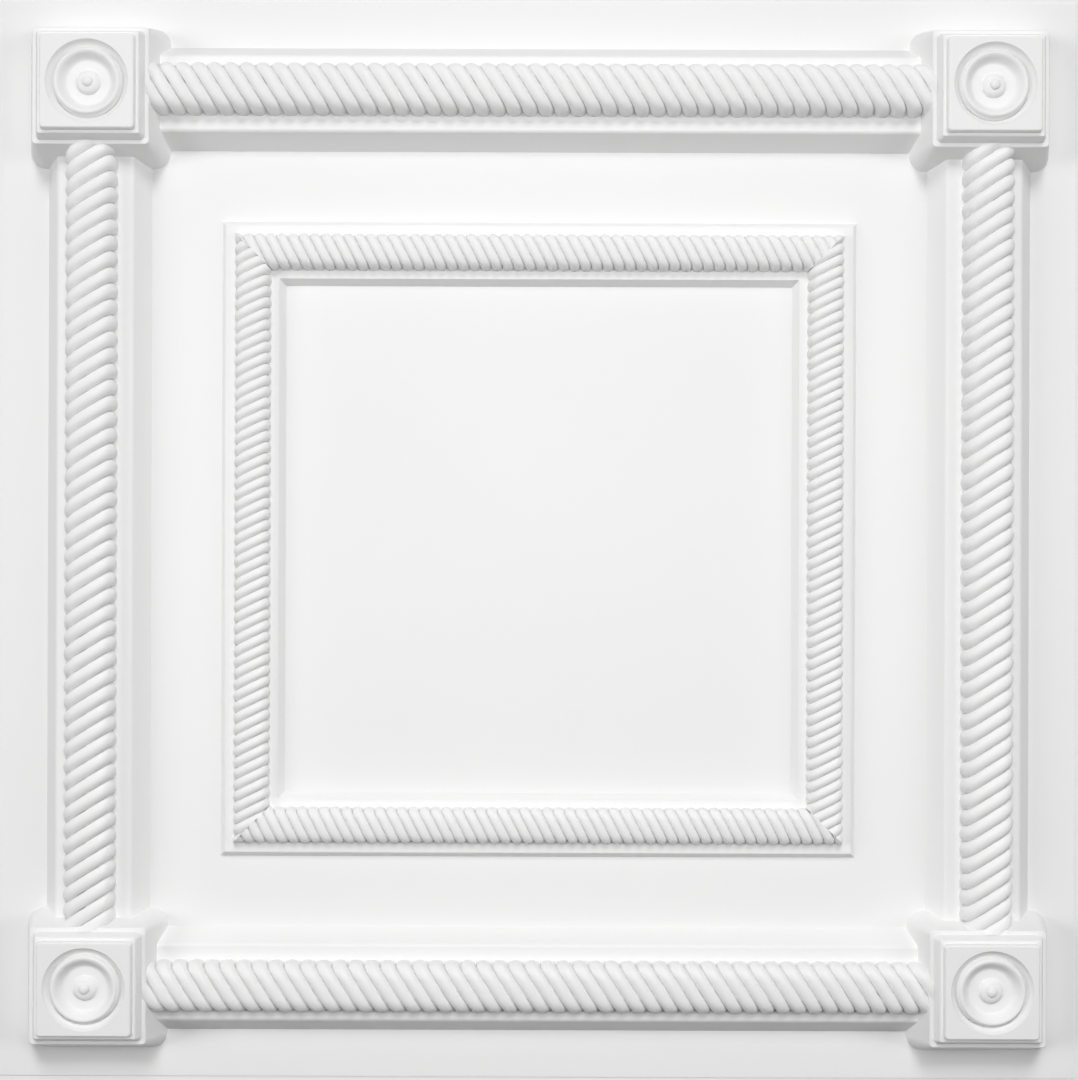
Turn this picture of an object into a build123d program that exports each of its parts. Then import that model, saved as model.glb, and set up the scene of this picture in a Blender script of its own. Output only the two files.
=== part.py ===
"""Square PVC ceiling tile, vacuum formed from one sheet and lying face up.

The back lies on z = 0, the relief rises towards +Z, and the origin is under the middle of the tile.
Every form is drawn twice by the same function: at skin 0 for the show face, and one sheet thickness
inside it for the hollow back, where the large ropes are plain beads. The tile is what lies between the
two. Heights are counted from the show face of the flat sheet, at z = SHEET.
"""
import os
from math import atan, ceil, cos, degrees, hypot, pi, sin

from build123d import *

# Sheet: lies in a 610 mm grid with a little play all round
TILE_WIDTH = 603.0
SHEET = 0.8

# Beam along each side, inside a flat margin, with drafted walls and rounded top edges
MARGIN = 26.2
BEAM_FOOT_WIDTH = 58.0
BEAM_TOP_WIDTH = 41.8
BEAM_HEIGHT = 11.8
BEAM_EDGE_RADIUS = 2.6

# Rope moulding along the top of each beam, set a little outside its middle. Its round is in flats, and
# its strands are ridges, one to a pitch, straight in plan and leaning by the lay
ROPE_WIDTH = 29.0
ROPE_SETOUT = 1.4
ROPE_FLATS = 5
STRAND_PITCH = 8.83
STRAND_DEPTH = 2.0
STRAND_LAY = 0.58

# Corner block where two beams meet: plinth, ledge, sloped band, upper ledge and square cap
PLINTH_OVERHANG = 10.3
PLINTH_RUN = 7.4
PLINTH_UNDER_ROPE = 2.4
PLINTH_TOP_CORNER = 2.0
LEDGE = 2.0
BAND_RUN = 2.3
BAND_HEIGHT = 5.5
UPPER_LEDGE = 1.5
CAP_RUN = 0.6
CAP_HEIGHT = 3.2
CAP_EDGE = 1.2

# Bullseye rosette turned into the cap: widths from its rim inwards, then the pointed boss
ROSETTE_BORDER = 2.5
GROOVE_WALL = 3.5
GROOVE_DEPTH = 2.8
RING_WALL = 2.0
DISH_SLOPE = 5.8
DISH_DEPTH = 2.8
BOSS_RADIUS = 6.9
BOSS_HEIGHT = 2.7

# Low inner frame between the flat field and the middle panel
FIELD_WIDTH = 39.4
FRAME_OUTER_RUN = 2.7
FRAME_TOP_WIDTH = 30.0
FRAME_INNER_RUN = 3.3
FRAME_HEIGHT = 4.6

# Smaller rope moulding on the inner frame, mitred at the corners
SMALL_ROPE_SETBACK = 15.6
SMALL_ROPE_WIDTH = 20.4
SMALL_ROPE_RISE = 10.0

# Places, from the outside in
BEAM_CENTRE = TILE_WIDTH / 2 - MARGIN - BEAM_FOOT_WIDTH / 2
PLINTH_HALF = BEAM_FOOT_WIDTH / 2 + PLINTH_OVERHANG
PLINTH_TOP_HALF = PLINTH_HALF - PLINTH_RUN
ROPE_RISE = ROPE_WIDTH / 2 * cos(pi / 2 / ROPE_FLATS)
PLINTH_HEIGHT = BEAM_HEIGHT + ROPE_RISE - PLINTH_UNDER_ROPE
BAND_HALF = PLINTH_TOP_HALF - LEDGE
BAND_TOP = PLINTH_HEIGHT + BAND_HEIGHT
CAP_HALF = BAND_HALF - BAND_RUN - UPPER_LEDGE
CAP_TOP = BAND_TOP + CAP_HEIGHT
FRAME_HALF = BEAM_CENTRE - BEAM_FOOT_WIDTH / 2 - FIELD_WIDTH
FRAME_TOP_HALF = FRAME_HALF - FRAME_OUTER_RUN
PANEL_HALF = FRAME_TOP_HALF - FRAME_TOP_WIDTH - FRAME_INNER_RUN
SMALL_ROPE_CENTRE = FRAME_TOP_HALF - SMALL_ROPE_SETBACK


def inner_radius(radius, skin):
    """Radius of an outside rounding as seen one skin further in."""
    return max(radius - skin, radius / 8)


def drafted_square(half, corner, low, high, slope):
    """Square form between two heights, its walls leaning in by the slope as they rise."""
    width = 2 * half
    section = RectangleRounded(width, width, corner) if corner else Rectangle(width, width)
    return extrude(Pos(0, 0, SHEET + low) * section, high - low, taper=degrees(atan(slope)))


def frustum(foot, run, low, high, skin, top_corner=0, root=SHEET):
    """Drafted square from its half-width at the foot and its run, drawn down past the foot by its root."""
    slope = run / (high - low)
    deep = low - root - skin
    lean = skin * hypot(1, slope)
    half = foot - slope * (deep - low) - lean
    corner = inner_radius(top_corner, lean) + slope * (high - skin - deep) if top_corner else 0
    return drafted_square(half, corner, deep, high - skin, slope)


def beam(skin):
    """Beam on the +Y side, running from block centre to block centre."""
    slope = (BEAM_FOOT_WIDTH - BEAM_TOP_WIDTH) / 2 / BEAM_HEIGHT
    deep, high = -SHEET - skin, BEAM_HEIGHT - skin
    foot_half = BEAM_FOOT_WIDTH / 2 - slope * deep - skin * hypot(1, slope)
    top_half = BEAM_FOOT_WIDTH / 2 - slope * high - skin * hypot(1, slope)
    outline = Polyline(
        (-foot_half, SHEET + deep),
        (foot_half, SHEET + deep),
        (top_half, SHEET + high),
        (-top_half, SHEET + high),
        close=True,
    )
    section = make_face(outline)
    top_corners = section.vertices().group_by(Axis.Y)[-1]
    section = fillet(top_corners, inner_radius(BEAM_EDGE_RADIUS, skin))
    bar = extrude(Plane.YZ * section, BEAM_CENTRE, both=True)
    return Pos(0, BEAM_CENTRE, 0) * bar


def moulding(width, rise, base, half_length, skin):
    """Half-round bead along X, standing on a flat at height base and rooted a little below it."""
    half = width / 2 - skin
    root = -2 * SHEET
    crown = ThreePointArc((half, 0), (0, rise - skin), (-half, 0))
    sides = Polyline((-half, 0), (-half, root), (half, root), (half, 0))
    section = make_face(Curve() + [crown, sides])
    return Pos(0, 0, SHEET + base) * extrude(Plane.YZ * section, half_length, both=True)


def rope_section(x, radius):
    """Outline of the rope in the upright plane of a strand that crosses the rope's line at x."""
    turns = [pi * flat / ROPE_FLATS for flat in range(ROPE_FLATS + 1)]
    crown = [(radius * cos(turn), radius * sin(turn)) for turn in turns]
    outline = [*crown, (-radius, -2 * SHEET), (radius, -2 * SHEET)]
    return [Vector(x - STRAND_LAY * y, y, z) for y, z in outline]


def flat_sided(outlines):
    """Solid with flat walls from each outline to the next."""
    ends = [outlines[0], outlines[-1]]
    walls = [
        [near[corner - 1], near[corner], far[corner], far[corner - 1]]
        for near, far in zip(outlines, outlines[1:])
        for corner in range(len(near))
    ]
    return Solid(Shell([make_face(Polyline(*points, close=True)) for points in ends + walls]))


def rope(skin):
    """Rope on the +Y beam, running over the plinths into the blocks' bands. Its back is a plain bead."""
    radius = ROPE_WIDTH / 2
    half_length = BEAM_CENTRE - PLINTH_TOP_HALF + 2 * skin
    if skin:
        width = 2 * (radius - STRAND_DEPTH) * cos(pi / 2 / ROPE_FLATS)
        bead = moulding(width, width / 2, BEAM_HEIGHT, half_length, skin)
    else:
        strands = ceil((half_length + STRAND_LAY * radius) / STRAND_PITCH)
        ridges = [(place / 2 * STRAND_PITCH, place % 2) for place in range(-2 * strands, 2 * strands + 1)]
        sections = [rope_section(x, radius - STRAND_DEPTH * (1 - ridge)) for x, ridge in ridges]
        bead = Pos(0, 0, SHEET + BEAM_HEIGHT) * flat_sided(sections)
    return Pos(0, BEAM_CENTRE + ROPE_SETOUT, 0) * bead


def small_rope(skin):
    """Rope on the +Y side of the inner frame, mitred to its neighbours on the diagonals."""
    reach = SMALL_ROPE_CENTRE + SMALL_ROPE_WIDTH
    bead = moulding(SMALL_ROPE_WIDTH, SMALL_ROPE_RISE, FRAME_HEIGHT, reach, skin)
    bead = Pos(0, SMALL_ROPE_CENTRE, 0) * bead
    wedge = make_face(Polyline((0, 0), (reach, reach), (-reach, reach), close=True))
    return bead & extrude(wedge, SHEET + FRAME_HEIGHT + SMALL_ROPE_RISE)


def rosette(skin):
    """Turned hollow that leaves the ring, the dish and its boss standing in the cap."""
    rim = CAP_HALF - CAP_RUN - ROSETTE_BORDER
    groove = rim - GROOVE_WALL
    ring = groove - RING_WALL
    boss_top = BOSS_HEIGHT - DISH_DEPTH
    clear = boss_top + GROOVE_DEPTH
    profile = Polyline(
        (0, boss_top),
        (BOSS_RADIUS, -DISH_DEPTH),
        (ring - DISH_SLOPE, -DISH_DEPTH),
        (ring, 0),
        (groove, -GROOVE_DEPTH),
        (rim, 0),
        (rim, clear),
        (0, clear),
        close=True,
    )
    turned = revolve(Plane.XZ * make_face(profile), Axis.Z)
    return Pos(0, 0, SHEET + CAP_TOP - skin) * turned


def block(skin):
    """Corner block in the +X +Y corner, where two beams meet."""
    plinth = frustum(PLINTH_HALF, PLINTH_RUN, 0, PLINTH_HEIGHT, skin, PLINTH_TOP_CORNER)
    band = frustum(BAND_HALF, BAND_RUN, PLINTH_HEIGHT, BAND_TOP, skin)
    cap = frustum(CAP_HALF, CAP_RUN, BAND_TOP, CAP_TOP, skin)
    edge_low = CAP_TOP - CAP_EDGE
    cap &= frustum(CAP_HALF - CAP_RUN, CAP_EDGE, edge_low, CAP_TOP, skin, root=CAP_HEIGHT + SHEET)
    return Pos(BEAM_CENTRE, BEAM_CENTRE, 0) * (plinth + band + cap - rosette(skin))


def inner_frame(skin):
    """Low square frame with drafted walls, open in the middle."""
    slab = frustum(FRAME_HALF, FRAME_OUTER_RUN, 0, FRAME_HEIGHT, skin)
    slope = FRAME_INNER_RUN / FRAME_HEIGHT
    deep = -2 * SHEET - skin
    half = PANEL_HALF + slope * deep + skin * hypot(1, slope)
    return slab - drafted_square(half, 0, deep, FRAME_HEIGHT + SHEET, -slope)


def relief(skin):
    """All raised forms of the tile: one side with its corner block, turned four times, and the frame."""
    side = beam(skin) + rope(skin) + block(skin)
    bead = small_rope(skin)
    turned = [Rot(0, 0, 90 * quarter) * form for quarter in range(4) for form in (side, bead)]
    return inner_frame(skin) + turned


sheet = Box(TILE_WIDTH, TILE_WIDTH, SHEET, align=(Align.CENTER, Align.CENTER, Align.MIN))
tile = sheet + relief(0) - relief(SHEET)

os.makedirs("parts", exist_ok=True)
export_step(tile, "parts/ceiling_tile.step")
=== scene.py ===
"""Looks of a square PVC ceiling tile, vacuum formed from one white sheet.

The tile lies face up on a pale floor. Its forms are modelled twice, as the show face and as the hollow
back one sheet thickness inside it, and the sheet is what lies between the two.
"""
import logging
from contextlib import contextmanager
from dataclasses import dataclass, field
from enum import Enum
from math import atan2, ceil, copysign, cos, hypot, pi, radians, sin, tan
from typing import Callable, Iterator

import bmesh
import bpy
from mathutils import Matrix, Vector


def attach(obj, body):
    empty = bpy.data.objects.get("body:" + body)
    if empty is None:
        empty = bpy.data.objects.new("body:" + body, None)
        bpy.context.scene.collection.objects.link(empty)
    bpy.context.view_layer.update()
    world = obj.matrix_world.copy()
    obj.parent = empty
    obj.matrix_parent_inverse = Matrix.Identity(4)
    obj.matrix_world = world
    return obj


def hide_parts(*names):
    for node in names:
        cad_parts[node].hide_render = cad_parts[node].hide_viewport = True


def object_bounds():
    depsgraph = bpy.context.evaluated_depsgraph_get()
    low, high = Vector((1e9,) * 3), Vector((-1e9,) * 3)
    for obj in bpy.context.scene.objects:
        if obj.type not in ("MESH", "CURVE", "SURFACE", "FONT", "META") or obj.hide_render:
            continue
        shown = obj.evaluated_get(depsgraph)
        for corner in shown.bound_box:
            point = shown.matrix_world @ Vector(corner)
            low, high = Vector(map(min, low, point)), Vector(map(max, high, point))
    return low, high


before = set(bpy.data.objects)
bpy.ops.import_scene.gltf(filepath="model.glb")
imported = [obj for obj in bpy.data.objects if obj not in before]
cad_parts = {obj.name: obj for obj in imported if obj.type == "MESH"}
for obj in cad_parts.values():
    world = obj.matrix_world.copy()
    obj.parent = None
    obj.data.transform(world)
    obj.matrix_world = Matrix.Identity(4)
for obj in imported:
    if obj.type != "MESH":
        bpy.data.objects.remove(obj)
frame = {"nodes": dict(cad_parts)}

CAD_BOX: tuple[Vector, Vector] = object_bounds()
MM = 0.001
OVERSHOOT = 1.0 * MM
WELD = 0.002 * MM

log = logging.getLogger("ceiling_tile")


class SheetFace(Enum):
    """The two faces of the formed sheet."""

    SHOW = "show"
    BACK = "back"


class Side(Enum):
    """The four sides of the tile, as quarter turns from the side at +Y."""

    NORTH = 0
    WEST = 1
    SOUTH = 2
    EAST = 3

    @property
    def turn(self) -> float:
        """Angle about Z from the north side, in radians."""
        return self.value * pi / 2


class RopeEnd(Enum):
    """How a rope moulding ends."""

    BURIED = "runs into a block"
    MITRED = "meets its neighbour on the diagonal"


def deselect_all() -> None:
    """Leave nothing selected."""
    bpy.ops.object.select_all(action="DESELECT")


def activate(piece: bpy.types.Object) -> None:
    """Select one object alone and make it active."""
    deselect_all()
    piece.select_set(True)
    bpy.context.view_layer.objects.active = piece


@contextmanager
def editing(piece: bpy.types.Object, kind: str = "VERT") -> Iterator[None]:
    """Open a piece in edit mode for the length of a with block.

    Args:
        piece: The object to edit.
        kind: Selection mode: VERT, EDGE or FACE.
    """
    activate(piece)
    bpy.ops.object.mode_set(mode="EDIT")
    bpy.ops.mesh.select_mode(type=kind)
    yield
    bpy.ops.object.mode_set(mode="OBJECT")


def pick_faces(piece: bpy.types.Object, test: Callable[[Vector, Vector], bool]) -> None:
    """Select the faces whose centre and normal pass a test, in edit mode.

    Args:
        piece: The object in edit mode.
        test: Takes a face's centre and normal.
    """
    bpy.ops.mesh.select_all(action="DESELECT")
    mesh = bmesh.from_edit_mesh(piece.data)
    for face in mesh.faces:
        face.select_set(test(face.calc_center_median(), face.normal))
    bmesh.update_edit_mesh(piece.data)


def pick_edges(piece: bpy.types.Object, test: Callable[[Vector, Vector], bool]) -> None:
    """Select the edges whose two ends pass a test, in edit mode.

    Args:
        piece: The object in edit mode.
        test: Takes an edge's two end points.
    """
    bpy.ops.mesh.select_all(action="DESELECT")
    mesh = bmesh.from_edit_mesh(piece.data)
    for edge in mesh.edges:
        edge.select_set(test(edge.verts[0].co, edge.verts[1].co))
    bmesh.update_edit_mesh(piece.data)


def pick_points(piece: bpy.types.Object, test: Callable[[Vector], bool]) -> None:
    """Select the points whose place passes a test, in edit mode.

    Args:
        piece: The object in edit mode.
        test: Takes a point's place.
    """
    bpy.ops.mesh.select_all(action="DESELECT")
    mesh = bmesh.from_edit_mesh(piece.data)
    for point in mesh.verts:
        point.select_set(test(point.co))
    mesh.select_flush(True)
    bmesh.update_edit_mesh(piece.data)


def apply_modifier(piece: bpy.types.Object, kind: str, **settings: object) -> None:
    """Add a modifier, set it up and apply it.

    Args:
        piece: The object to change.
        kind: Modifier type, such as ARRAY.
        settings: Values of the modifier's own properties.
    """
    modifier = piece.modifiers.new(kind.title(), kind)
    for name, value in settings.items():
        setattr(modifier, name, value)
    activate(piece)
    bpy.ops.object.modifier_apply(modifier=modifier.name)


def combine(piece: bpy.types.Object, tool: bpy.types.Object, operation: str) -> bpy.types.Object:
    """Unite, cut or intersect a piece with a tool, which is used up.

    Args:
        piece: The object that is kept.
        tool: The other closed solid.
        operation: UNION, DIFFERENCE or INTERSECT.

    Returns:
        The piece.
    """
    apply_modifier(piece, "BOOLEAN", operation=operation, object=tool, solver="MANIFOLD")
    bpy.data.objects.remove(tool)
    return piece


def moved(piece: bpy.types.Object, offset: tuple[float, float, float]) -> bpy.types.Object:
    """Move a piece and put its place into its mesh.

    Args:
        piece: The object to move.
        offset: Translation in metres.

    Returns:
        The piece.
    """
    activate(piece)
    bpy.ops.transform.translate(value=offset)
    bpy.ops.object.transform_apply(location=True, rotation=True, scale=True)
    return piece


def turned_copy(piece: bpy.types.Object, side: Side) -> bpy.types.Object:
    """Copy a piece of the north side to another side, with its own mesh.

    Args:
        piece: The piece on the north side.
        side: Where the copy goes.

    Returns:
        The copy.
    """
    activate(piece)
    bpy.ops.object.duplicate(linked=False)
    copy = bpy.context.active_object
    copy.rotation_euler.z = side.turn
    bpy.ops.object.transform_apply(location=True, rotation=True, scale=True)
    return copy


def trace(name: str, points: list[Vector]) -> bpy.types.Object:
    """Draw a line of edges by extruding one point from place to place.

    Args:
        name: Name of the new object.
        points: The places, in order.

    Returns:
        The new object, with edges only.
    """
    deselect_all()
    bpy.ops.mesh.primitive_plane_add(size=MM)
    piece = bpy.context.active_object
    piece.name = name
    with editing(piece):
        bpy.ops.mesh.select_all(action="SELECT")
        bpy.ops.mesh.merge(type="CENTER")
        bpy.ops.transform.translate(value=points[0])
        for start, end in zip(points, points[1:]):
            bpy.ops.mesh.extrude_region_move(TRANSFORM_OT_translate={"value": end - start})
    return piece


def drafted_square(
    name: str, half: float, corner: float, low: float, root: float, run: float, rise: float, segments: int
) -> bpy.types.Object:
    """Model a square solid with leaning walls: a rounded plate, raised by its root, then inset upwards.

    Args:
        name: Name of the new object.
        half: Half-width at the foot of the leaning walls.
        corner: Corner radius there; 0 leaves the corners sharp.
        low: Height of the underside.
        root: Height of the straight part under the leaning walls.
        run: How far the walls lean in; negative leans out.
        rise: Height of the leaning walls.
        segments: Facets of each corner.

    Returns:
        The new object.
    """
    deselect_all()
    bpy.ops.mesh.primitive_plane_add(size=2 * half, location=(0, 0, low))
    piece = bpy.context.active_object
    piece.name = name
    bpy.ops.object.transform_apply(location=True, rotation=True, scale=True)
    with editing(piece, "FACE"):
        bpy.ops.mesh.select_all(action="SELECT")
        if corner:
            bpy.ops.mesh.bevel(
                offset=corner, segments=segments, profile=0.5, affect="VERTICES", clamp_overlap=False
            )
            bpy.ops.mesh.select_all(action="SELECT")
        bpy.ops.mesh.extrude_region_move(TRANSFORM_OT_translate={"value": (0, 0, root)})
        if run > 0:
            bpy.ops.mesh.inset(thickness=run, depth=rise, use_even_offset=True)
        else:
            bpy.ops.mesh.extrude_region_move(TRANSFORM_OT_translate={"value": (0, 0, rise)})
            bpy.ops.transform.resize(value=(1 - run / half, 1 - run / half, 1), center_override=(0, 0, 0))
        bpy.ops.mesh.select_all(action="SELECT")
        bpy.ops.mesh.normals_make_consistent(inside=False)
    return piece


def soften(piece: bpy.types.Object, level: float, radius: float, segments: int) -> None:
    """Round the outline of the flat top at a level.

    Args:
        piece: The solid whose upper edges are rounded.
        level: Height of that top.
        radius: Radius of the rounding.
        segments: Facets of the rounding.
    """
    with editing(piece, "EDGE"):
        pick_edges(piece, lambda a, b: abs(a.z - level) < WELD and abs(b.z - level) < WELD)
        bpy.ops.mesh.bevel(offset=radius, segments=segments, profile=0.5, affect="EDGES")


@dataclass
class FlatSheet:
    """The sheet before forming."""

    width: float = CAD_BOX[1].x - CAD_BOX[0].x
    thickness: float = 0.8 * MM

    def skin(self, face: SheetFace) -> float:
        """How far inside the show face a face lies."""
        return self.thickness if face is SheetFace.BACK else 0.0

    def build(self) -> bpy.types.Object:
        """Model the flat blank.

        Returns:
            The blank, lying on the floor.
        """
        layer = self.thickness / 2
        return drafted_square("sheet_blank", self.width / 2, 0, 0, layer, 0, layer, 1)


@dataclass
class Beam:
    """Raised beam along one side of the tile."""

    sheet: FlatSheet
    margin: float = 26.2 * MM
    foot_width: float = 58.0 * MM
    top_width: float = 41.8 * MM
    height: float = 11.8 * MM
    edge_radius: float = 2.6 * MM
    edge_segments: int = 6
    rope_setout: float = 1.4 * MM

    @property
    def centre(self) -> float:
        """Distance of the beam's middle from the middle of the tile."""
        return self.sheet.width / 2 - self.margin - self.foot_width / 2

    def build(self, face: SheetFace) -> bpy.types.Object:
        """Model the beam on the north side.

        Args:
            face: Which face of the sheet the solid gives.

        Returns:
            The solid.
        """
        skin = self.sheet.skin(face)
        slope = (self.foot_width - self.top_width) / 2 / self.height
        lean = skin * hypot(1, slope)
        low = -OVERSHOOT * (face is SheetFace.BACK)
        top = self.sheet.thickness + self.height - skin
        foot_half = self.foot_width / 2 + slope * (self.sheet.thickness - low) - lean
        top_half = self.foot_width / 2 - slope * (self.height - skin) - lean
        tangent = max(self.edge_radius - skin, skin) * tan(atan2(1, slope) / 2)
        deselect_all()
        bpy.ops.mesh.primitive_cube_add(size=1, location=(0, 0, (low + top) / 2))
        piece = bpy.context.active_object
        piece.name = f"beam_{face.value}"
        piece.dimensions = (2 * self.centre, 2 * foot_half, top - low)
        bpy.ops.object.transform_apply(location=True, rotation=True, scale=True)
        with editing(piece, "FACE"):
            pick_faces(piece, lambda centre, normal: normal.z > 0.9)
            bpy.ops.transform.resize(value=(1, top_half / foot_half, 1), center_override=(0, 0, top))
        with editing(piece, "EDGE"):
            pick_edges(piece, lambda a, b: abs(a.z + b.z - 2 * top) < WELD and abs(a.y - b.y) < WELD)
            bpy.ops.mesh.bevel(
                offset_type="OFFSET",
                offset=tangent,
                segments=self.edge_segments,
                profile=0.5,
                affect="EDGES",
            )
        return moved(piece, (0, self.centre, 0))


@dataclass
class Rope:
    """Twisted rope moulding: one strand modelled once and repeated along a side."""

    name: str
    sheet: FlatSheet
    width: float
    rise: float
    pitch: float
    groove: float
    base: float
    centre: float
    half_length: float
    end: RopeEnd
    lay: float
    fullness: float = 2.8
    mitre_clearance: float = 8 * WELD
    across: int = 8
    along: int = 12

    def crown(self, angle: float) -> tuple[float, float]:
        """Point on the rope's cross-section, which is fuller at its shoulders than a half round.

        Args:
            angle: Turn from the top of the rope, in radians.

        Returns:
            Distance across the rope and height over its base.
        """
        power = 2 / self.fullness
        side = copysign(abs(sin(angle)) ** power, angle)
        return self.width / 2 * side, self.rise * max(cos(angle), 0.0) ** power

    def strand(self, face: SheetFace) -> bpy.types.Object:
        """Model one strand: its round section is spun over half a turn, then each row is set on the crown.

        Args:
            face: Which face of the sheet the strand gives; the back is drawn with fewer facets.

        Returns:
            The strand as an open strip, one pitch long.
        """
        coarse = 1 if face is SheetFace.SHOW else 2
        across, along = self.across // coarse, self.along // coarse
        half = self.width / 2
        section = []
        for step in range(across + 1):
            turn = pi * step / across
            reach = half - self.sheet.skin(face) - self.groove * (1 - sin(turn))
            section.append(Vector((-cos(turn) * self.pitch / 2, -reach, 0)))
        piece = trace(f"{self.name}_strand", section)
        with editing(piece):
            bpy.ops.mesh.select_all(action="SELECT")
            bpy.ops.mesh.spin(steps=along, angle=pi, center=(0, 0, 0), axis=(1, 0, 0))
            for row in range(along + 1):
                angle = pi * (row / along - 0.5)
                pick_points(piece, lambda co: abs(atan2(co.y, co.z) - angle) < pi / along / 4)
                side, height = self.crown(angle)
                lift = (side - half * sin(angle), height - half * cos(angle))
                bpy.ops.transform.translate(value=(-self.lay * side, *lift))
        return piece

    def build(self, face: SheetFace) -> bpy.types.Object:
        """Model the rope on the north side as a closed solid.

        Args:
            face: Which face of the sheet the solid gives.

        Returns:
            The solid.
        """
        piece = self.strand(face)
        piece.name = f"{self.name}_{face.value}"
        count = 2 * ceil((self.half_length + self.lay * self.width) / self.pitch)
        apply_modifier(
            piece,
            "ARRAY",
            count=count,
            use_relative_offset=False,
            use_constant_offset=True,
            constant_offset_displace=(self.pitch, 0, 0),
        )
        with editing(piece):
            bpy.ops.mesh.select_all(action="SELECT")
            bpy.ops.mesh.remove_doubles(threshold=WELD)
        moved(piece, (-self.pitch * (count - 1) / 2, self.centre, self.sheet.thickness + self.base))
        self.trim(piece)
        self.close(piece)
        return piece

    def trim(self, piece: bpy.types.Object) -> None:
        """Cut the strip off at both ends.

        Args:
            piece: The open strip of strands.
        """
        for way in (-1, 1):
            if self.end is RopeEnd.MITRED:
                place, normal = (way * self.mitre_clearance, 0, 0), (way, -1, 0)
            else:
                place, normal = (way * self.half_length, 0, 0), (way, 0, 0)
            with editing(piece):
                bpy.ops.mesh.select_all(action="SELECT")
                bpy.ops.mesh.bisect(plane_co=place, plane_no=normal, clear_outer=True, threshold=WELD / 10)

    def close(self, piece: bpy.types.Object) -> None:
        """Carry the border of the strip down into the beam and floor it over.

        Args:
            piece: The trimmed strip.
        """
        floor = self.base - self.sheet.thickness
        with editing(piece, "EDGE"):
            bpy.ops.mesh.select_all(action="DESELECT")
            bpy.ops.mesh.select_non_manifold(
                extend=False, use_wire=False, use_boundary=True, use_multi_face=False,
                use_non_contiguous=False, use_verts=False,
            )
            bpy.ops.mesh.extrude_region_move(TRANSFORM_OT_translate={"value": (0, 0, -self.rise)})
            bpy.ops.transform.resize(value=(1, 1, 0), center_override=(0, 0, floor))
            bpy.ops.mesh.edge_face_add()
            bpy.ops.mesh.select_all(action="SELECT")
            bpy.ops.mesh.normals_make_consistent(inside=False)


@dataclass
class Rosette:
    """Bullseye turned into the cap of a block, from the nub in its middle out to its rim."""

    rim: float
    groove_wall: float = 3.5 * MM
    groove_depth: float = 4.2 * MM
    ring_wall: float = 2.2 * MM
    dish_slope: float = 5.6 * MM
    dish_depth: float = 4.3 * MM
    boss_radius: float = 6.7 * MM
    boss_height: float = 2.6 * MM
    nub_radius: float = 2.9 * MM
    nub_height: float = 1.6 * MM
    steps: int = 72
    arc_steps: int = 6

    def round_over(self, start: tuple[float, float], end: tuple[float, float]) -> list[tuple[float, float]]:
        """Quarter of an ellipse between two places on the profile, level where it starts.

        Args:
            start: Radius and height of the level end.
            end: Radius and height of the steep end.

        Returns:
            The points after the start, up to the end.
        """
        turns = [pi / 2 * step / self.arc_steps for step in range(1, self.arc_steps + 1)]
        run, drop = end[0] - start[0], end[1] - start[1]
        return [(start[0] + run * sin(turn), end[1] - drop * cos(turn)) for turn in turns]

    def ogee(self, start: tuple[float, float], end: tuple[float, float]) -> list[tuple[float, float]]:
        """S-shaped rise between two places on the profile, level at both ends.

        Args:
            start: Radius and height of the first end.
            end: Radius and height of the second end.

        Returns:
            The points after the start, up to the end.
        """
        run, rise = end[0] - start[0], end[1] - start[1]
        shares = [step / self.arc_steps for step in range(1, self.arc_steps + 1)]
        return [(start[0] + run * share, start[1] + rise * (1 - cos(pi * share)) / 2) for share in shares]

    def profile(self) -> list[tuple[float, float]]:
        """Trace the turned form.

        Returns:
            Radius and height of each point, from the middle to the rim.
        """
        floor = -self.dish_depth
        boss_top = floor + self.boss_height
        groove = (self.rim - self.groove_wall, -self.groove_depth)
        ring = (groove[0] - self.ring_wall, 0.0)
        nub = (0.0, boss_top + self.nub_height)
        shoulder = (self.nub_radius, boss_top)
        dish = (ring[0] - self.dish_slope, floor)
        return [
            nub,
            *self.round_over(nub, shoulder),
            *self.round_over(shoulder, (self.boss_radius, floor)),
            dish,
            *self.ogee(dish, ring),
            *self.round_over(ring, groove),
            (self.rim, 0.0),
        ]

    def cutter(self, level: float) -> bpy.types.Object:
        """Model the turned hollow that leaves the ring, the dish and the boss standing.

        Args:
            level: Height of the cap's top.

        Returns:
            The solid to cut out of the cap.
        """
        clear = 2 * self.groove_depth
        outline = [*self.profile(), (self.rim, clear), (0.0, clear)]
        piece = trace("rosette", [Vector((radius, 0, level + height)) for radius, height in outline])
        with editing(piece):
            bpy.ops.mesh.select_all(action="SELECT")
            bpy.ops.mesh.spin(steps=self.steps, angle=2 * pi, center=(0, 0, 0), axis=(0, 0, 1))
            bpy.ops.mesh.select_all(action="SELECT")
            bpy.ops.mesh.remove_doubles(threshold=WELD)
            bpy.ops.mesh.normals_make_consistent(inside=False)
        return piece


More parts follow.
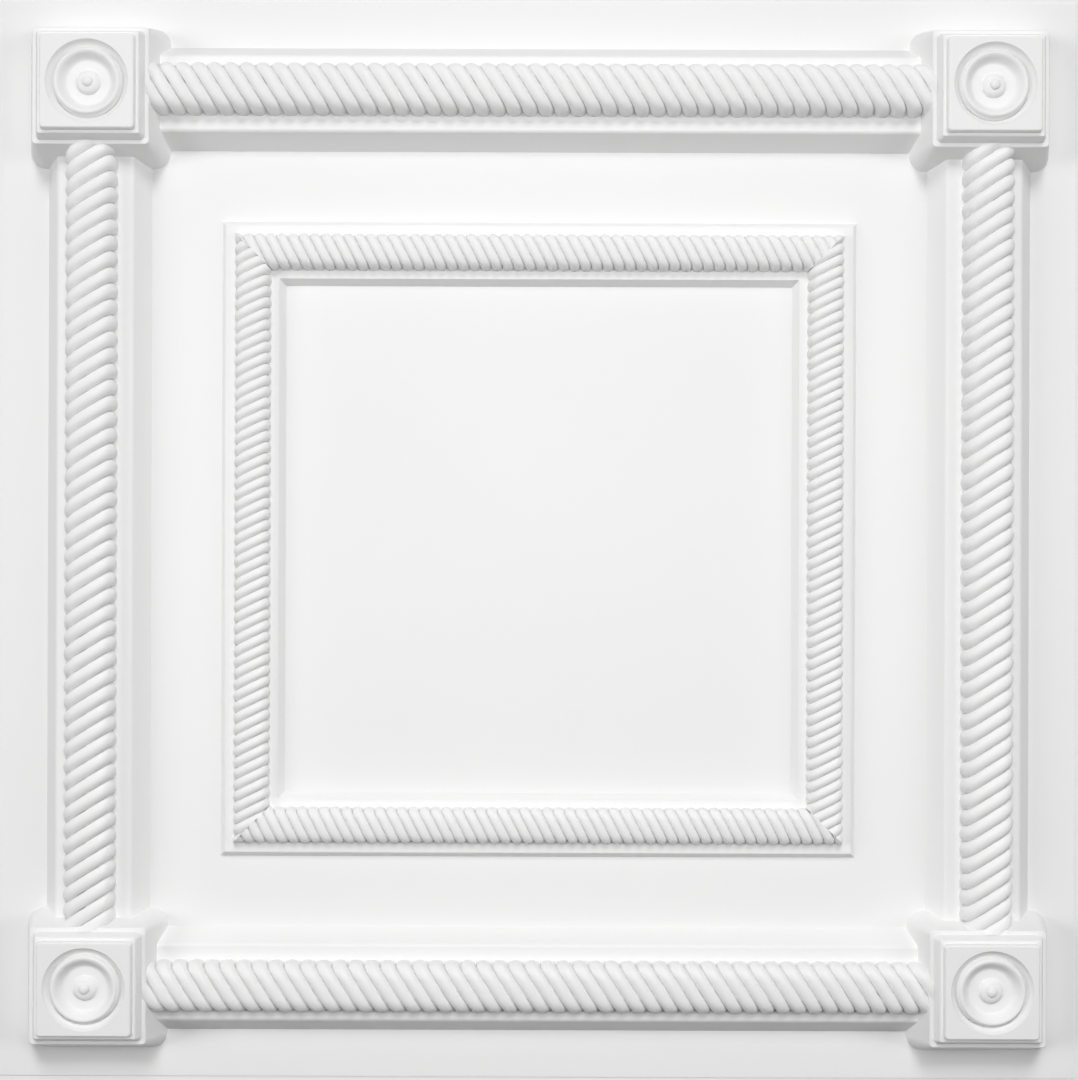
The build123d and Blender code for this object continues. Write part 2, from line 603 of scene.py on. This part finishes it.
@dataclass
class CornerBlock:
    """Block at a corner, where two beams meet: plinth, ledge, sloped band, upper ledge and cap."""

    sheet: FlatSheet
    beam: Beam
    rope_rise: float
    overhang: float = 10.3 * MM
    plinth_run: float = 7.4 * MM
    plinth_under_rope: float = 1.2 * MM
    plinth_top_corner: float = 2.0 * MM
    ledge: float = 2.0 * MM
    band_run: float = 2.3 * MM
    band_height: float = 5.5 * MM
    band_corner: float = 0.8 * MM
    upper_ledge: float = 1.5 * MM
    cap_run: float = 0.6 * MM
    cap_height: float = 3.2 * MM
    cap_corner: float = 2.0 * MM
    cap_edge: float = 0.9 * MM
    rosette_border: float = 2.9 * MM
    small_edge: float = 0.5 * MM
    root: float = 0.16 * MM
    segments: int = 6

    @property
    def plinth_height(self) -> float:
        """Height of the lower ledge over the field."""
        return self.beam.height + self.rope_rise - self.plinth_under_rope

    @property
    def plinth_top_half(self) -> float:
        """Half-width of the plinth at its ledge."""
        return self.beam.foot_width / 2 + self.overhang - self.plinth_run

    def tier(
        self, name: str, face: SheetFace, foot: float, run: float, low: float, high: float,
        corner: float, edge: float,
    ) -> bpy.types.Object:
        """Model one drafted square tier with a softened top edge.

        Args:
            name: Name of the new object.
            face: Which face of the sheet the solid gives.
            foot: Half-width of the show face at its foot.
            run: How far the walls lean in.
            low: Height of the foot over the field.
            high: Height of the top over the field.
            corner: Corner radius at the top.
            edge: Radius of the top edge.

        Returns:
            The solid.
        """
        skin = self.sheet.skin(face)
        slope = run / (high - low)
        lean = skin * hypot(1, slope)
        deep = low - self.sheet.thickness - skin + self.root
        top = high - skin
        half = foot - slope * (deep - low) - lean
        inner_corner = max(corner - lean, corner / 4) + slope * (top - deep)
        level, rise = self.sheet.thickness, top - deep
        piece = drafted_square(
            name, half, inner_corner, level + deep - self.root, self.root, slope * rise, rise, self.segments
        )
        soften(piece, level + top, max(edge - skin, edge / 4), self.segments // 2)
        return piece

    def build(self, face: SheetFace) -> bpy.types.Object:
        """Model the block at the north-east corner.

        Args:
            face: Which face of the sheet the solid gives.

        Returns:
            The solid.
        """
        plinth_top = self.plinth_height
        band_top = plinth_top + self.band_height
        cap_top = band_top + self.cap_height
        plinth_half = self.beam.foot_width / 2 + self.overhang
        band_half = self.plinth_top_half - self.ledge
        cap_half = band_half - self.band_run - self.upper_ledge
        piece = self.tier(
            f"block_{face.value}", face, plinth_half, self.plinth_run, 0, plinth_top,
            self.plinth_top_corner, self.small_edge,
        )
        band = self.tier(
            "band", face, band_half, self.band_run, plinth_top, band_top,
            self.band_corner, self.small_edge,
        )
        cap = self.tier(
            "cap", face, cap_half, self.cap_run, band_top, cap_top, self.cap_corner, self.cap_edge
        )
        combine(piece, band, "UNION")
        combine(piece, cap, "UNION")
        rosette = Rosette(cap_half - self.cap_run - self.rosette_border)
        level = self.sheet.thickness + cap_top - self.sheet.skin(face)
        combine(piece, rosette.cutter(level), "DIFFERENCE")
        return moved(piece, (self.beam.centre, self.beam.centre, 0))


@dataclass
class InnerFrame:
    """Low square frame between the field and the middle panel."""

    sheet: FlatSheet
    beam: Beam
    field_width: float = 39.4 * MM
    outer_run: float = 2.7 * MM
    top_width: float = 30.0 * MM
    inner_run: float = 3.3 * MM
    height: float = 4.6 * MM
    edge: float = 0.7 * MM
    rope_setback: float = 15.6 * MM

    @property
    def half(self) -> float:
        """Half-width at the foot of the outer wall."""
        return self.beam.centre - self.beam.foot_width / 2 - self.field_width

    @property
    def rope_centre(self) -> float:
        """Distance of the small rope from the middle of the tile."""
        return self.half - self.outer_run - self.rope_setback

    def build(self, face: SheetFace) -> bpy.types.Object:
        """Model the frame.

        Args:
            face: Which face of the sheet the solid gives.

        Returns:
            The solid.
        """
        skin = self.sheet.skin(face)
        level = self.sheet.thickness
        slope = self.outer_run / self.height
        deep = -level / 2 - skin
        top = self.height - skin
        half = self.half - slope * deep - skin * hypot(1, slope)
        piece = drafted_square(
            f"frame_{face.value}", half, 0, level / 2 + deep, level / 2, slope * (top - deep), top - deep, 1
        )
        soften(piece, level + top, max(self.edge - skin, self.edge / 4), 2)
        inner_slope = self.inner_run / self.height
        panel_half = self.half - self.outer_run - self.top_width - self.inner_run
        pit_low = -level / 2 if face is SheetFace.SHOW else -level - 2 * skin
        pit_half = panel_half + inner_slope * pit_low + skin * hypot(1, inner_slope)
        rise = top + OVERSHOOT - pit_low
        pit = drafted_square(
            "panel_pit", pit_half, 0, level + pit_low - level / 4, level / 4, -inner_slope * rise, rise, 1
        )
        return combine(piece, pit, "DIFFERENCE")


@dataclass(frozen=True)
class SatinPvc:
    """White rigid PVC, satin as it comes off the mould."""

    name: str = "white_pvc"
    colour: tuple[float, float, float] = (0.86, 0.86, 0.855)
    cloud: tuple[float, float, float] = (0.845, 0.846, 0.845)
    cloud_scale: float = 9.0
    cloud_detail: float = 3.0
    roughness: tuple[float, float] = (0.48, 0.58)
    refraction: float = 1.53
    specular: float = 0.45
    peel_scale: float = 420.0
    peel_detail: float = 2.0
    peel_height: float = 0.02 * MM
    peel_strength: float = 0.25

    def material(self) -> bpy.types.Material:
        """Build the finish from noise on object coordinates.

        Returns:
            The material.
        """
        material = bpy.data.materials.new(self.name)
        material.use_nodes = True
        nodes, links = material.node_tree.nodes, material.node_tree.links
        shader = nodes["Principled BSDF"]
        shader.inputs["IOR"].default_value = self.refraction
        shader.inputs["Specular IOR Level"].default_value = self.specular
        place = nodes.new("ShaderNodeTexCoord")
        cloud = nodes.new("ShaderNodeTexNoise")
        cloud.inputs["Scale"].default_value = self.cloud_scale
        cloud.inputs["Detail"].default_value = self.cloud_detail
        links.new(place.outputs["Object"], cloud.inputs["Vector"])
        tint = nodes.new("ShaderNodeMix")
        tint.data_type = "RGBA"
        tint.inputs["A"].default_value = (*self.colour, 1)
        tint.inputs["B"].default_value = (*self.cloud, 1)
        links.new(cloud.outputs["Fac"], tint.inputs["Factor"])
        links.new(tint.outputs["Result"], shader.inputs["Base Color"])
        gloss = nodes.new("ShaderNodeMapRange")
        gloss.inputs["To Min"].default_value = self.roughness[0]
        gloss.inputs["To Max"].default_value = self.roughness[1]
        links.new(cloud.outputs["Fac"], gloss.inputs["Value"])
        links.new(gloss.outputs["Result"], shader.inputs["Roughness"])
        peel = nodes.new("ShaderNodeTexNoise")
        peel.inputs["Scale"].default_value = self.peel_scale
        peel.inputs["Detail"].default_value = self.peel_detail
        links.new(place.outputs["Object"], peel.inputs["Vector"])
        bump = nodes.new("ShaderNodeBump")
        bump.inputs["Strength"].default_value = self.peel_strength
        bump.inputs["Distance"].default_value = self.peel_height
        links.new(peel.outputs["Fac"], bump.inputs["Height"])
        links.new(bump.outputs["Normal"], shader.inputs["Normal"])
        return material


@dataclass
class CeilingTile:
    """The formed sheet, put together from its forms."""

    sheet: FlatSheet = field(default_factory=FlatSheet)
    finish: SatinPvc = field(default_factory=SatinPvc)
    crease: float = radians(36)
    rope_rise: float = 12.6 * MM
    rope_bury: float = 2.0 * MM
    small_rope_overrun: float = 12.0 * MM
    beam: Beam = field(init=False)
    block: CornerBlock = field(init=False)
    frame: InnerFrame = field(init=False)
    rope: Rope = field(init=False)
    small_rope: Rope = field(init=False)

    def __post_init__(self) -> None:
        """Place the forms against each other."""
        self.beam = Beam(self.sheet)
        self.block = CornerBlock(self.sheet, self.beam, self.rope_rise)
        self.frame = InnerFrame(self.sheet, self.beam)
        self.rope = Rope(
            name="rope",
            sheet=self.sheet,
            width=28.6 * MM,
            rise=self.rope_rise,
            pitch=8.83 * MM,
            groove=3.3 * MM,
            base=self.beam.height,
            centre=self.beam.centre + self.beam.rope_setout,
            half_length=self.beam.centre - self.block.plinth_top_half + self.rope_bury,
            end=RopeEnd.BURIED,
            lay=0.54,
        )
        self.small_rope = Rope(
            name="small_rope",
            sheet=self.sheet,
            width=20.4 * MM,
            rise=9.4 * MM,
            pitch=6.2 * MM,
            groove=2.6 * MM,
            base=self.frame.height,
            centre=self.frame.rope_centre,
            half_length=self.frame.rope_centre + self.small_rope_overrun,
            end=RopeEnd.MITRED,
            lay=0.42,
            along=10,
        )

    def forms(self, face: SheetFace) -> list[bpy.types.Object]:
        """Model all the raised forms of one face of the sheet.

        Args:
            face: Which face of the sheet the solids give.

        Returns:
            The frame, and one side with its block and its small rope for each side of the tile.
        """
        north = self.beam.build(face)
        combine(north, self.rope.build(face), "UNION")
        combine(north, self.block.build(face), "UNION")
        bead = self.small_rope.build(face)
        solids = [self.frame.build(face), north, bead]
        for side in (Side.WEST, Side.SOUTH, Side.EAST):
            solids.append(turned_copy(north, side))
            solids.append(turned_copy(bead, side))
        return solids

    def build(self) -> bpy.types.Object:
        """Form the sheet: raise the show face, then hollow the back.

        Returns:
            The finished piece, not yet dressed.
        """
        piece = self.sheet.build()
        piece.name = "formed_sheet"
        for solid in self.forms(SheetFace.SHOW):
            combine(piece, solid, "UNION")
        log.info("show face: %d faces", len(piece.data.polygons))
        for solid in self.forms(SheetFace.BACK):
            combine(piece, solid, "DIFFERENCE")
        log.info("formed sheet: %d faces", len(piece.data.polygons))
        return piece

    def dress(self, piece: bpy.types.Object) -> None:
        """Give the piece its shading and finish, and tie it to the frame.

        Args:
            piece: The formed sheet.
        """
        piece.data.materials.clear()
        piece.data.materials.append(self.finish.material())
        activate(piece)
        bpy.ops.object.shade_smooth_by_angle(angle=self.crease)
        apply_modifier(piece, "WEIGHTED_NORMAL", keep_sharp=True)
        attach(piece, "root")
        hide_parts("ceiling_tile")


@dataclass(frozen=True)
class SoftLamp:
    """Square soft box that faces the middle of the tile."""

    name: str
    place: tuple[float, float, float]
    size: float
    power: float

    def hang(self) -> None:
        """Put the lamp in the scene."""
        light = bpy.data.lights.new(self.name, "AREA")
        light.size = self.size
        light.energy = self.power
        lamp = bpy.data.objects.new(self.name, light)
        lamp.location = self.place
        lamp.rotation_euler = Vector(self.place).to_track_quat("Z", "Y").to_euler()
        lamp.visible_camera = False
        bpy.context.scene.collection.objects.link(lamp)


@dataclass
class Studio:
    """Pale floor, soft lamps and the camera over the tile."""

    image_size: tuple[int, int] = (1078, 1080)
    middle_px: tuple[float, float] = (538.1, 539.6)
    distance_px: float = 1600.0
    mm_per_px: float = 0.5618
    camera_place: tuple[float, float] = (-17.0 * MM, -47.0 * MM)
    camera_roll: float = radians(0.2)
    floor_half: float = 3.0
    floor_colour: tuple[float, float, float] = (0.88, 0.88, 0.88)
    floor_roughness: float = 0.9
    floor_drop: float = 0.02 * MM
    world_light: float = 0.02
    world_seen: float = 0.8
    lamps: tuple[SoftLamp, ...] = (
        SoftLamp("north_key", (0.0, 6.0, 7.4), 2.8, 385.0),
        SoftLamp("overhead", (0.0, 0.1, 0.8), 0.4, 2.3),
        SoftLamp("west_fill", (-3.0, 0.2, 2.4), 1.4, 43.0),
        SoftLamp("east_fill", (3.0, 0.2, 2.4), 1.4, 31.0),
    )

    def floor(self) -> None:
        """Lay the pale floor that the tile rests on."""
        deselect_all()
        bpy.ops.mesh.primitive_plane_add(size=2 * self.floor_half, location=(0, 0, -self.floor_drop))
        floor = bpy.context.active_object
        floor.name = "floor"
        material = bpy.data.materials.new("pale_floor")
        material.use_nodes = True
        shader = material.node_tree.nodes["Principled BSDF"]
        shader.inputs["Base Color"].default_value = (*self.floor_colour, 1)
        shader.inputs["Roughness"].default_value = self.floor_roughness
        floor.data.materials.append(material)

    def camera(self) -> None:
        """Look straight down with +Y up, the lens shifted so that the tile fills the picture."""
        width, height = self.image_size
        distance = self.distance_px * self.mm_per_px * MM
        data = bpy.data.cameras.new("camera")
        data.sensor_fit = "HORIZONTAL"
        data.lens = data.sensor_width * self.distance_px / width
        aside = [self.distance_px * place / distance for place in self.camera_place]
        data.shift_x = (width / 2 - self.middle_px[0] - aside[0]) / width
        data.shift_y = (self.middle_px[1] - height / 2 - aside[1]) / width
        data.clip_start = 0.01
        camera = bpy.data.objects.new("camera", data)
        camera.location = (*self.camera_place, distance)
        camera.rotation_euler.z = self.camera_roll
        bpy.context.scene.collection.objects.link(camera)
        bpy.context.scene.camera = camera

    def backdrop(self) -> None:
        """Set the world: faint as a light, pale where it is seen or reflected."""
        world = bpy.data.worlds.new("studio")
        world.use_nodes = True
        nodes, links = world.node_tree.nodes, world.node_tree.links
        sky = nodes["Background"]
        sky.inputs["Color"].default_value = (1, 1, 1, 1)
        path = nodes.new("ShaderNodeLightPath")
        seen = path.outputs["Is Camera Ray"]
        for ray in ("Is Glossy Ray", "Is Transmission Ray"):
            either = nodes.new("ShaderNodeMath")
            either.operation = "MAXIMUM"
            links.new(seen, either.inputs[0])
            links.new(path.outputs[ray], either.inputs[1])
            seen = either.outputs["Value"]
        strength = nodes.new("ShaderNodeMapRange")
        strength.inputs["To Min"].default_value = self.world_light
        strength.inputs["To Max"].default_value = self.world_seen
        links.new(seen, strength.inputs["Value"])
        links.new(strength.outputs["Result"], sky.inputs["Strength"])
        bpy.context.scene.world = world

    def build(self) -> None:
        """Set up backdrop, floor, light and camera."""
        bpy.context.scene.view_settings.view_transform = "Standard"
        self.backdrop()
        self.floor()
        for lamp in self.lamps:
            lamp.hang()
        self.camera()


def main() -> None:
    """Build the tile and its studio, and report each piece."""
    logging.basicConfig(level=logging.INFO, format="%(name)s: %(message)s")
    tile = CeilingTile()
    piece = tile.build()
    tile.dress(piece)
    log.info("%s: %d points, %d faces", piece.name, len(piece.data.vertices), len(piece.data.polygons))
    Studio().build()


if __name__ == "__main__":
    main()
